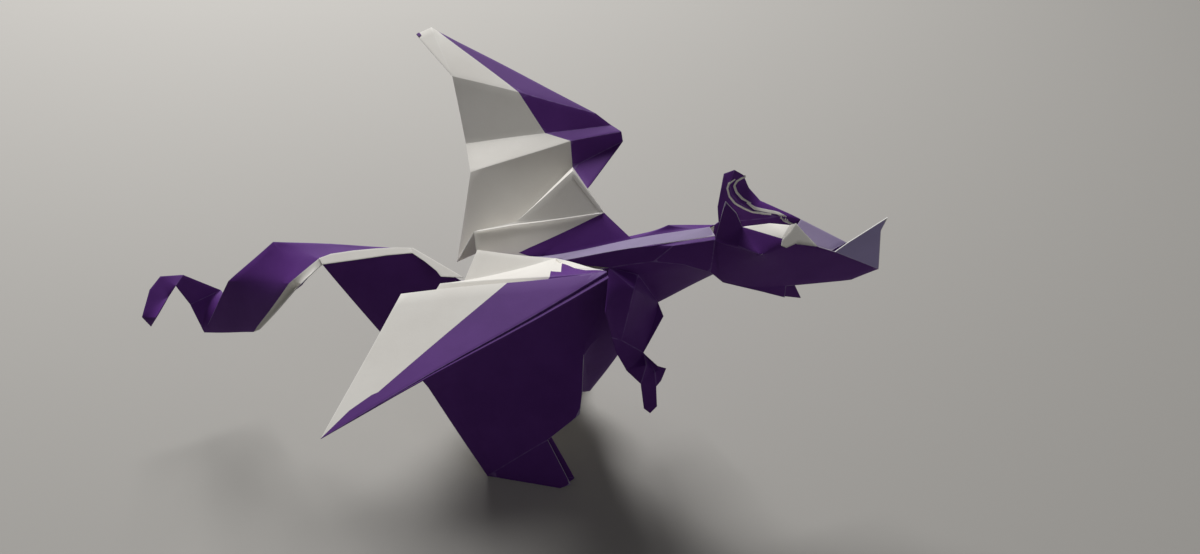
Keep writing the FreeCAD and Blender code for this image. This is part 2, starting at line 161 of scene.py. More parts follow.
@dataclass(frozen=True)
class Layer:
    """A thin flap of paper on the sheet, outlined by shares along its base's first two edges."""

    name: str
    panel: Panel
    draped: bool
    base: tuple[str, ...]
    outline: np.ndarray

    def corners(self, points: Corners, lift: float) -> Corners:
        """Place the layer's corners at a height over its base's plane.

        Args:
            points: The sheet's corners, which the base is named after.
            lift: The height over the plane, in millimetres.

        Returns:
            Corner name to point.
        """
        first, second, third = (points[name] for name in self.base)
        normal = np.cross(second - first, third - first)
        normal *= np.sign(normal @ np.array(self.panel.facing.value)) / np.linalg.norm(normal)
        placed = first + self.outline @ np.stack((second - first, third - first)) + lift * normal
        return dict(zip(self.panel.corners, placed))


def read_layers(text: str) -> list[Layer]:
    """Read layers from lines such as "band VV up draped elbow tip ridge | 0,0 1,0 0,1".

    Args:
        text: One layer a line: its name, its faces, the way it looks, draped or flat, the three corners of
            its base, and its outline as pairs of shares.

    Returns:
        The layers in order.
    """
    layers = []
    for line in filter(str.strip, text.split("\n")):
        head, shares = line.split("|")
        name, letters, way, manner, *base = head.split()
        outline = np.array([[float(share) for share in pair.split(",")] for pair in shares.split()])
        outer, inner = (FACE_LETTERS[letter] for letter in letters)
        corners = tuple(f"{name}_{number}" for number in range(len(outline)))
        panel = Panel(corners, outer, inner, Facing[way.upper()])
        layers.append(Layer(name, panel, manner == "draped", tuple(base), outline))
    return layers


def place(
    anchor: np.ndarray, size: tuple[float, ...], shares: Shares, prefix: str = "", turn: float = 1.0
) -> Corners:
    """Place corners given as shares of a limb's length, width and height from its anchor.

    Args:
        anchor: The point that the shares count from, in millimetres.
        size: The limb's length, width and height in millimetres.
        shares: Corner name to its three shares.
        prefix: What goes before each corner's name.
        turn: The sign of the side along Y.

    Returns:
        Corner name to its point in millimetres.
    """
    scale = np.array(size) * (1.0, turn, 1.0)
    return {prefix + name: anchor + np.array(share) * scale for name, share in shares.items()}


@dataclass(frozen=True)
class Limb:
    """A limb with a length, a width and a height, in millimetres, as its fields.

    Its corners are shares of those sizes, counted from the corner where it joins the rest. The trunk and the
    neck have more sizes than three, so they place their own corners.
    """

    root: ClassVar[str] = ""
    prefix: ClassVar[str] = ""
    turn: ClassVar[float] = 1.0
    shares: ClassVar[Shares] = {}
    sides_text: ClassVar[str] = ""
    panels_text: ClassVar[str] = ""
    layers_text: ClassVar[str] = ""

    def corners(self, points: Corners) -> Corners:
        """Place the limb's corners.

        Args:
            points: The corners placed so far, among them the limb's root.

        Returns:
            Corner name to its point in millimetres.
        """
        return place(points[self.root], astuple(self), self.shares, self.prefix, self.turn)

    def panels(self) -> list[Panel]:
        """Return the limb's panels: those that each side has, and then those that are there once."""
        both = [panel for side in Side for panel in read_panels(self.sides_text, side.prefix)]
        return both + read_panels(self.panels_text, self.prefix)

    def layers(self) -> list[Layer]:
        """Return the layers that lie on the limb."""
        return read_layers(self.layers_text)


@dataclass(frozen=True)
class Trunk(Limb):
    """The back, the two flanks and the hind feet, which every other limb is placed from."""

    trunk_length: float = 42.0
    back_height: float = 54.5
    stance_width: float = 39.0
    foot_length: float = 21.5
    sole_width: float = 3.5
    flank: ClassVar[Shares] = read_shares("""
        rump 0,1  hip 0.975,0.595  knee 0.975,0.43  shin 0.965,0.33  ankle 0.785,0.195  heel 0.43,0
        groin 0.085,0.395
    """)
    waists: ClassVar[dict[Side, Span]] = {Side.RIGHT: (0.285, 0.88), Side.LEFT: (0.24, 0.77)}
    foot: ClassVar[Shares] = read_shares("""
        toe 0.86,0.57,0  toe_front 0.975,0.43,0.3  toe_inner 1,-0.43,0  heel_inner 0.07,-0.7,0
    """)
    ankle_fold: ClassVar[Shares] = {"ankle_inner": (0.15, -0.3, 0.15)}
    sides_text: ClassVar[str] = """
        VW side *tail_root rump ~*waist *hip *knee *shin *ankle *heel *groin
        VW side *waist ~*shoulder *hip
        VW side *shoulder *collar keel_top keel_low *keel_back *hip
        VW side *heel *toe *toe_front *ankle
        VV down *heel *toe *toe_inner *heel_inner
        VV side *heel_inner *toe_inner *ankle_inner
    """
    layers_text: ClassVar[str] = """
        back_hem WW up flat rump back_middle back_hem_rim | -0.011,-0.037 0.04,-0.094 0.889,3.399 \
            0.542,3.477 0.459,2.754 0.261,1.632 0.046,0.613 0.003,0.585
    """

    def corners(self, points: Corners) -> Corners:
        """Place the corners: the flanks lean out from the back, so their width grows downwards."""
        points = dict(points)
        size = (self.trunk_length, self.stance_width, self.back_height)
        foot = (self.foot_length, self.sole_width, self.sole_width)
        fold = (self.sole_width,) * 3
        for side in Side:
            start = side.prefix
            flank = {
                name: (along, side.value * (1 - up) / 2, up)
                for name, (along, up) in (self.flank | {"waist": self.waists[side]}).items()
            }
            points |= place(np.zeros(3), size, flank, start)
            points |= place(points[start + "heel"], foot, self.foot, start, side.value)
            points |= place(points[start + "ankle"], fold, self.ankle_fold, start, side.value)
        points["rump"] = points.pop("right_rump")
        points.pop("left_rump")
        return points


@dataclass(frozen=True)
class Neck(Limb):
    """The neck, the breast's keel and the mane strip along the top, its white paper painted pale
    as shade with violet reflected onto it.
    """

    mane_setback: float = 15.5
    neck_length: float = 55.5
    neck_width: float = 10.0
    neck_rise: float = 12.0
    breast_depth: float = 42.0
    middle: ClassVar[Shares] = read_shares("""
        back_middle 0,0,0  back_hem_rim -0.279,-0.188,-0.058  mane_back 0.333,-0.2,0.083
        mane_middle 0.678,-0.4,0.667  mane_front 0.972,-0.4,1.05  mane_slit 0.973,-0.1,0.875
        mane_left_front 0.95,0.2,0.875  mane_left_root 0.64,0.3,0.375  mane_left_back 0.252,0.1,-0.083
        throat 1,0,-0.042  right_jowl_top 0.811,-0.5,0.833  right_nape 0.973,-0.5,1.042
        left_jowl_top 0.784,0.4,0.708  left_nape 0.968,0.45,0.775
    """)
    sides: ClassVar[Shares] = read_shares("""
        shoulder 0.559,0.5,0.208  collar 0.676,0.45,0.042  jowl_back 0.739,0.55,0.458
        jowl_low 0.856,0.5,0.417  jowl_front 0.964,0.45,0.25
    """)
    breast: ClassVar[Shares] = read_shares("""
        keel_top 0.757,0,-0.262  keel_low 0.468,0,-1
    """)
    breast_sides: ClassVar[Shares] = {"keel_back": (0.432, 0.3, -0.94)}
    sides_text: ClassVar[str] = """
        VW side *shoulder *jowl_back *jowl_low *jowl_front throat keel_top *collar
        VW side *jowl_back *jowl_low *jowl_front *nape *jowl_top
    """
    # The mane strip (PP) is white paper painted pale: painted shade with violet reflected onto it.
    panels_text: ClassVar[str] = """
        VV right mane_back mane_middle mane_front right_nape right_jowl_top right_jowl_back right_shoulder
        PP up back_middle mane_back mane_middle mane_slit mane_left_front mane_left_root mane_left_back
        VV left mane_left_back mane_left_root mane_left_front left_nape left_jowl_top left_jowl_back \
            left_shoulder
    """

    def corners(self, points: Corners) -> Corners:
        """Place the corners from the middle of the back, a little in front of the rump."""
        middle = points["rump"] + np.array((self.mane_setback, 0.0, 0.0))
        neck = (self.neck_length, self.neck_width, self.neck_rise)
        breast = (self.neck_length, self.neck_width, self.breast_depth)
        points = place(middle, neck, self.middle) | place(middle, breast, self.breast)
        for side in Side:
            points |= place(middle, neck, self.sides, side.prefix, side.value)
            points |= place(middle, breast, self.breast_sides, side.prefix, side.value)
        return points


@dataclass(frozen=True)
class RightWing(Limb):
    """The lowered wing: its membrane, and the hem that hangs from its leading edge."""

    root: ClassVar[str] = "back_middle"
    prefix: ClassVar[str] = "right_wing_"
    turn: ClassVar[float] = Side.RIGHT.value
    wing_length: float = 52.0
    wing_span: float = 60.0
    wing_rise: float = 18.0
    shares: ClassVar[Shares] = read_shares("""
        elbow 0.625,0.417,1  slit 0.627,0.419,0.969  hem 0.635,0.437,0.966  tip -0.356,1,0.083
        ridge -0.192,0.45,0.556  valley -0.106,0.392,0.278  second_ridge -0.067,0.333,0.417
        second_valley -0.025,0.15,-0.089  peak 0.375,0.117,0.333  crown 0.013,0.025,0.121
        band_1 -0.274,0.904,0.193  band_2 -0.202,0.852,0.267  band_3 -0.18,0.844,0.284
        band_4 0.237,0.433,0.789  band_5 0.398,0.39,0.809  band_6 0.386,0.409,0.764  band_7 0.393,0.335,0.713
        band_8 0.435,0.345,0.756  band_9 0.413,0.189,0.479  band_10 0.485,0.312,0.734
        band_11 0.537,0.364,0.853
    """)
    panels_text: ClassVar[str] = """
        WV up ~*tip ~*band_1 ~*band_2 ~*band_3 *band_4 *ridge
        VV up *elbow *tip *band_1 *band_2 *band_3 *band_4
        VV right *elbow *tip ~*slit
        VV up *slit *tip *hem
        WV up *band_4 *ridge *valley ~*band_6
        VV up *elbow *band_4 *band_6
        WV up *valley *second_ridge ~*band_5 *band_6
        VV up *elbow *band_6 *band_5
        WV up *second_ridge *second_valley *peak *elbow ~*band_11 ~*band_10 ~*band_9 ~*band_8 ~*band_7 \
            *band_5
        VV up ~*elbow *band_11 *band_10 *band_9 *band_8 *band_7 *band_5
        WV right *second_valley *peak *crown
        WV up *crown *peak mane_back back_middle
    """


@dataclass(frozen=True)
class LeftWing(Limb):
    """The raised wing, with its four pleats and the violet spar along its leading edge."""

    root: ClassVar[str] = "back_middle"
    prefix: ClassVar[str] = "left_wing_"
    wing_length: float = 52.0
    wing_span: float = 57.0
    wing_rise: float = 26.5
    shares: ClassVar[Shares] = read_shares("""
        tip -0.394,1,1  tip_front -0.356,0.982,0.981  curl -0.462,0.964,0.957  rim_1 -0.24,0.737,0.811
        rim_2 -0.144,0.526,0.377  rim_3 -0.087,0.351,0.321  rim_4 -0.115,0.079,-0.245
        valley 0.066,0.122,-0.085  crown -0.019,0.061,0.132  arm_1 0.096,0.632,0.811  arm_2 0.24,0.491,0.585
        arm_3 0.365,0.43,0.604  arm_4 0.38,0.368,0.419  flap 0.395,0.263,0.531  lead_1 0.471,0.509,0.792
        lead_2 0.548,0.465,0.736  elbow 0.596,0.421,0.736  elbow_low 0.603,0.43,0.626
        armpit 0.462,0.246,0.377  peak 0.548,0.149,0.283  saddle 0.163,0.114,0.189  root 0.184,0.039,-0.032
    """)
    panels_text: ClassVar[str] = """
        WV up *tip *tip_front *arm_1 *rim_1
        WV up *tip *rim_1 *curl
        VV up *tip_front *lead_1 *arm_1
        WV up *rim_1 *arm_1 *arm_2 *rim_2
        VV up *arm_1 *lead_1 *lead_2 *arm_2
        WV up *rim_2 *arm_2 *arm_3 *rim_3
        VV up *arm_2 *lead_2 *elbow *arm_3
        WV up *rim_3 *arm_3 *arm_4 *valley *rim_4
        VV up *arm_3 *elbow *elbow_low *arm_4
        VV up *arm_4 *elbow_low *armpit
        WW right *rim_4 *valley *saddle *crown
        WW left *valley *arm_4 *flap *saddle
        WW up *arm_4 *armpit *flap
        WW up *armpit *peak *flap
        WV up *flap *peak *saddle
        WV up *crown *saddle ~*peak ~*root mane_left_back back_middle
        VV up *peak mane_left_root mane_left_back *root
    """
    layers_text: ClassVar[str] = """
        left_wing_hem WW right draped left_wing_flap left_wing_peak left_wing_saddle | 0.023,0.011 \
            0.496,0.008 0.983,0.002 0.946,0.038 0.485,0.045 0.047,0.052
        left_wing_rim WW up flat left_wing_crown left_wing_peak right_wing_peak | 0.015,0 0.33,-0.05 \
            0.975,0 0.97,0.03 0.33,-0.015 0.02,0.03
        left_wing_curl_end VV up draped left_wing_tip left_wing_rim_1 left_wing_curl | 0.005,1 -0.001,0.793 \
            0.059,0.726 0.077,0.909
    """


@dataclass(frozen=True)
class Foreleg(Limb):
    """A foreleg, bent at the elbow, with its paw and thumb."""

    foreleg_reach: float
    foreleg_spread: float
    foreleg_length: float = 33.0
    shares: ClassVar[Shares] = read_shares("""
        cuff 0.429,0.333,-0.076  upper_arm 0,0.667,-0.182  forearm_out 0.107,0.708,-0.394
        forearm_in 0.25,0.583,-0.455  forearm_front 0.893,-0.167,-0.455  wrist 0.607,0.417,-0.621
        paw_top 0.679,0.75,-0.621  paw_low 0.607,0.875,-0.758  paw_back 0.357,0.75,-0.682
        paw_heel 0.179,0.708,-0.53  claw_back 0.679,1,-0.955  claw_tip 0.786,1,-1
        claw_front 0.893,0.958,-0.939  groove_top 0.821,0.708,-0.697  groove_low 0.857,0.792,-0.803
        thumb_top 0.857,0.625,-0.667  thumb_tip 1,0.625,-0.682  thumb_low 0.929,0.708,-0.773
    """)
    panels_text: ClassVar[str] = """
        VV side *shoulder *cuff *forearm_in *forearm_out *upper_arm
        VV side *shoulder *collar *cuff
        VV side *collar keel_top *forearm_front *wrist *forearm_in *cuff
        VV side *forearm_out *forearm_in *wrist *paw_top *paw_low *paw_back *paw_heel
        VV side *wrist *groove_top *groove_low *claw_front *claw_tip *claw_back *paw_low *paw_top
        VV side *wrist *thumb_top *thumb_tip *thumb_low *groove_low *groove_top
    """


@dataclass(frozen=True)
class RightForeleg(Foreleg):
    """The near foreleg, which reaches further forward."""

    foreleg_reach: float = 14.0
    foreleg_spread: float = 12.0
    root: ClassVar[str] = "right_shoulder"
    prefix: ClassVar[str] = Side.RIGHT.prefix
    turn: ClassVar[float] = Side.RIGHT.value


@dataclass(frozen=True)
class LeftForeleg(Foreleg):
    """The far foreleg."""

    foreleg_reach: float = 10.5
    foreleg_spread: float = 9.0
    root: ClassVar[str] = "left_shoulder"
    prefix: ClassVar[str] = Side.LEFT.prefix


@dataclass(frozen=True)
class Tail(Limb):
    """The tail: a narrow strip in zigzag folds, curled at its end, with a white hem on its right."""

    root: ClassVar[str] = "rump"
    tail_length: float = 71.5
    tail_width: float = 18.0
    tail_drop: float = 33.5
    shares: ClassVar[Shares] = read_shares("""
        right_tail_root -0.285,-0.178,-0.11  left_tail_root -0.287,0.167,-0.075
        tail_fold_left -0.495,0.318,-0.152  tail_fold_right -0.299,-0.123,-0.085
        tail_hem_rim -0.301,-0.225,-0.104  tail_hem_middle -0.163,0.019,-0.047
        ribbon_left -0.659,0.088,-0.458  ribbon_right -0.385,-0.398,-0.2  hem_middle -0.337,-0.486,-0.157
        ribbon_low_left -0.798,0.075,-0.981  ribbon_low_right -0.561,-0.315,-0.742
        hem_low -0.531,-0.362,-0.687  bend_left -0.825,0.111,-0.716  bend_right -0.755,0.5,-0.746
        crest_right -0.853,0.333,-0.537  crest_left -0.867,0.167,-0.567  curl_top -0.93,0.278,-0.537
        curl_side -0.958,0.111,-0.597  curl_inner -0.888,0.056,-0.627  curl_low -0.966,-0.198,-0.719
        curl_end -0.939,-0.225,-0.793  curl_back -0.9,-0.264,-0.668
    """)
    panels_text: ClassVar[str] = """
        WV up rump tail_hem_middle tail_fold_right right_tail_root
        VW up rump left_tail_root tail_fold_left tail_fold_right tail_hem_middle
        VW up tail_fold_left ~ribbon_left ribbon_right ~tail_fold_right
        VW up ribbon_left ribbon_low_left ribbon_low_right ribbon_right
        WV right right_tail_root tail_fold_right ~ribbon_right hem_middle
        WV right hem_middle ribbon_right ribbon_low_right hem_low
        VV up ribbon_low_left ribbon_low_right bend_right bend_left
        VV up bend_left bend_right crest_right crest_left
        VV up crest_left crest_right curl_top ~curl_side curl_inner
        VV up curl_inner curl_side curl_low curl_end curl_back
    """
    layers_text: ClassVar[str] = """
        tail_hem WW up flat tail_fold_right rump tail_hem_rim | 0.004,-0.012 0.124,-0.487 0.367,-0.642 \
            0.613,-0.579 0.814,-0.408 1.007,-0.078 1.039,0.721 0.765,0.606 0.523,0.719 0.28,0.831 \
            0.065,0.952
    """


@dataclass(frozen=True)
class Head(Limb):
    """The head: two cheeks, the ear, the crest, the nose horn, the tongue layer and the small flap."""

    root: ClassVar[str] = "throat"
    head_length: float = 35.0
    head_width: float = 15.0
    head_height: float = 24.0
    shares: ClassVar[Shares] = read_shares("""
        chin 0.843,0,0  nose 1,0,0.146  right_brow_4 0.7,-0.2,0.417  right_brow_3 0.459,-0.32,0.539
        right_brow_2 0.362,-0.313,0.586  right_brow_1 0.117,-0.3,0.685  cheek_back 0.098,-0.553,0.593
        cheek_front 0.238,-0.655,0.556  ear_tip 0,-0.333,0.968  ear_side 0.073,-0.32,0.843
        left_brow_4 0.786,0.2,0.333  left_brow_3 0.429,0.367,0.542  nose_horn_tip 1,0.1,0.708
        nose_horn_front 0.97,0.052,0.576  nose_horn_root 0.774,-0.125,0.496  crest_root -0.025,0.3,0.45
        crest_back_low -0.038,0.367,0.598  crest_back -0.014,0.467,0.917  crest_tip 0.048,0.467,0.963
        crest_tip_front 0.105,0.5,0.901  crest_edge_1 0.023,0.333,0.856  crest_edge_2 0.041,0.267,0.788
        crest_edge_3 0.089,0.233,0.715  crest_edge_4 0.186,0.233,0.623  crest_edge_5 0.343,0.267,0.562
        crest_outer_1 0.147,0.533,0.747  crest_outer_2 0.225,0.467,0.639  tongue_back 0.291,0.067,0.568
        tongue_front 0.407,-0.067,0.623  flap_tip 0.443,-0.067,0.646  flap_end 0.586,-0.267,0.5
        snout_back 0.414,-0.1,0.5  snout_hinge 0.49,0.339,0.507  snout_side 0.56,-0.2,0.462
        snout_front 0.683,-0.133,0.396  right_jaw_middle 0.3,-0.233,-0.083  right_jaw_tip 0.429,-0.2,-0.146
        right_jaw_front 0.429,-0.167,-0.021  left_jaw_middle 0.435,0.167,-0.333
        left_jaw_tip 0.549,0.133,-0.323  left_jaw_front 0.485,0.133,-0.125
        right_jaw_back 0.029,-0.233,0  left_jaw_back 0.029,0.233,0
    """)
    # The snout roof (PP) is violet paper painted pale as sheen; the nose horn (LL) is white paper painted
    # lilac as shade with violet reflected onto it.
    panels_text: ClassVar[str] = """
        VW right right_nape right_jowl_front right_jaw_back right_jaw_middle right_jaw_tip right_jaw_front \
            chin right_brow_4 flap_end right_brow_3 cheek_front cheek_back
        VW right chin nose ~right_brow_4
        VW right cheek_back ~cheek_front right_brow_3 right_brow_2 ~right_brow_1
        VW right ~right_nape cheek_back right_brow_1 ear_side ear_tip
        VV left chin nose ~left_brow_4
        VV left left_nape left_jowl_front left_jaw_back left_jaw_middle left_jaw_tip left_jaw_front chin \
            left_brow_4 snout_hinge left_brow_3 crest_edge_5 crest_root
        LL right right_brow_4 nose_horn_root nose_horn_tip nose_horn_front nose
        PP up left_brow_4 snout_hinge snout_back snout_side snout_front
        VV right crest_root crest_back_low crest_back crest_tip crest_edge_1 crest_edge_2 crest_edge_3 \
            crest_edge_4 crest_edge_5
        VV up crest_tip crest_tip_front crest_outer_1 crest_outer_2 left_brow_3 crest_edge_5 crest_edge_4 \
            crest_edge_3 crest_edge_2 crest_edge_1
        WW up right_brow_1 right_brow_2 tongue_front tongue_back
        WW up right_brow_2 right_brow_3 flap_end flap_tip tongue_front
    """
    layers_text: ClassVar[str] = """
        crest_inner_edge WW right draped crest_root crest_back crest_edge_4 | 0.823,0.336 0.809,0.192 \
            0.705,0.15 0.512,0.254 0.325,0.444 0.139,0.71 -0.028,0.975 -0.142,1.263 -0.212,1.523 \
            -0.187,1.524 -0.103,1.269 0.006,0.994 0.166,0.741 0.347,0.483 0.52,0.306 0.695,0.211 \
            0.771,0.243 0.797,0.356
        crest_outer_edge WW right draped crest_edge_1 crest_edge_3 crest_outer_1 | -0.6,0.79 -0.531,0.789 \
            -0.444,0.601 -0.251,0.34 0.072,0.108 0.463,0.061 0.827,0.174 1.069,0.456 1.001,0.526 \
            0.721,0.296 0.379,0.189 0.037,0.228 -0.198,0.401 -0.345,0.606 -0.503,0.873 -0.66,0.89
        crest_outer_edge_low WW right draped crest_edge_3 crest_edge_5 crest_outer_2 | 0.104,0.156 \
            0.44,-0.026 0.64,0.033 0.917,0.083 1.347,-0.147 1.49,-0.14 1.43,-0.002 1.249,0.082 0.816,0.313 \
            0.532,0.263 0.336,0.203 0.043,0.293
        brow_flap WW up flat flap_tip flap_end right_brow_3 | 0.007,-0.023 0.936,0.097 -0.016,0.975 \
            -0.565,1.822 -0.821,2.003 -0.753,1.647 -0.297,0.709
    """


def flat_normal(points: np.ndarray) -> np.ndarray:
    """Return the mean unit normal of a nearly flat polygon: the sum of its edges' cross products."""
    total = np.cross(points, np.roll(points, -1, axis=0)).sum(axis=0)
    return total / np.linalg.norm(total)


def is_ear(ring: list[int], index: int, points: np.ndarray, normal: np.ndarray) -> bool:
    """Say whether the corner at index can be cut off a ring as a triangle.

    Args:
        ring: Corner numbers round the polygon.
        index: The place in the ring of the corner to cut off.
        points: The corners' points.
        normal: The polygon's normal.

    Returns:
        True if the triangle turns the right way and holds no other corner.
    """
    trio = [ring[index - 1], ring[index], ring[(index + 1) % len(ring)]]
    starts = points[trio]
    edges = np.roll(starts, -1, axis=0) - starts
    if np.cross(edges[0], edges[1]) @ normal <= 0:
        return False
    others = points[[number for number in ring if number not in trio]]
    inside = np.cross(edges[None], others[:, None] - starts[None]) @ normal >= 0
    return not inside.all(axis=1).any()


def cut_into_triangles(points: np.ndarray) -> list[tuple[int, int, int]]:
    """Cut a polygon into triangles, each time across its shortest inner line.

    Args:
        points: The polygon's corners in order.

    Returns:
        Triples of corner numbers.
    """
    ring = list(range(len(points)))
    normal = flat_normal(points)
    triangles = []
    while len(ring) > 3:
        trios = {
            index: (ring[index - 1], ring[index], ring[(index + 1) % len(ring)])
            for index in range(len(ring)) if is_ear(ring, index, points, normal)
        }
        index = min(trios, key=lambda ear: np.linalg.norm(points[trios[ear][0]] - points[trios[ear][2]]))
        triangles.append(trios[index])
        ring.pop(index)
    return triangles + [tuple(ring)]


@dataclass(frozen=True)
class TriangleGrid:
    """A triangle's grid: every point with whole thirds, quarters and so on of its three corners."""

    steps: int

    @property
    def places(self) -> tuple[np.ndarray, np.ndarray]:
        """Each grid point's steps from the first corner towards the second and towards the third."""
        first, second = np.indices((self.steps + 1, self.steps + 1))
        keep = first + second <= self.steps
        return first[keep], second[keep]

    def weights(self) -> np.ndarray:
        """Return each grid point's three corner weights, which add up to one."""
        first, second = self.places
        return np.stack((self.steps - first - second, first, second), axis=1) / self.steps

    def faces(self) -> np.ndarray:
        """Return the grid's small triangles as triples of point numbers."""
        number = np.full((self.steps + 2, self.steps + 2), -1)
        number[self.places] = np.arange(len(self.places[0]))
        here, across, up = number[:-1, :-1], number[1:, :-1], number[:-1, 1:]
        whole = (here >= 0) & (across >= 0) & (up >= 0)
        lower = np.stack((here[whole], across[whole], up[whole]), axis=1)
        corner = number[1:, 1:]
        whole = (across >= 0) & (up >= 0) & (corner >= 0)
        upper = np.stack((across[whole], corner[whole], up[whole]), axis=1)
        return np.concatenate((lower, upper))


def distance_to_lines(points: np.ndarray, starts: np.ndarray, ends: np.ndarray) -> np.ndarray:
    """Return each point's distance to the nearest of some line segments.

    The nearest place on a segment is its start plus the point's share along it, held between 0 and 1.

    Args:
        points: Points, one a row.
        starts: The segments' starts, one a row.
        ends: The segments' ends, one a row.

    Returns:
        One distance a point.
    """
    if len(starts) == 0:
        return np.full(len(points), FAR)
    along = ends - starts
    share = np.einsum("psk,sk->ps", points[:, None] - starts[None], along) / (along**2).sum(axis=1)
    nearest = starts[None] + share.clip(0, 1)[..., None] * along[None]
    return np.linalg.norm(points[:, None] - nearest, axis=2).min(axis=1)


@dataclass(frozen=True)
class Warp:
    """How handling has bent the paper: long shallow waves along three slanted directions."""

    depth: float = 0.12
    foot_height: float = 8.0        # below this the bending fades out, so that the soles stay flat
    wavelengths: tuple[float, ...] = (47.0, 31.0, 23.0)
    directions: tuple[tuple[float, ...], ...] = ((0.9, 0.3, 0.2), (-0.2, 0.7, 0.6), (0.5, -0.4, 0.8))
    pushes: tuple[tuple[float, ...], ...] = ((0.1, 0.6, 0.8), (0.3, 0.8, -0.5), (-0.2, 0.5, 0.7))

    def bend(self, points: np.ndarray) -> np.ndarray:
        """Return the points moved by the sum of the waves: depth times the sine of the way along each.

        Args:
            points: Points in millimetres.

        Returns:
            The moved points.
        """
        moved = points.copy()
        freedom = np.clip(points[:, 2:] / self.foot_height, 0, 1)
        for wavelength, direction, push in zip(self.wavelengths, self.directions, self.pushes):
            phase = points @ np.array(direction) * 2 * math.pi / wavelength
            moved += self.depth * np.sin(phase)[:, None] * np.array(push) * freedom
        return moved


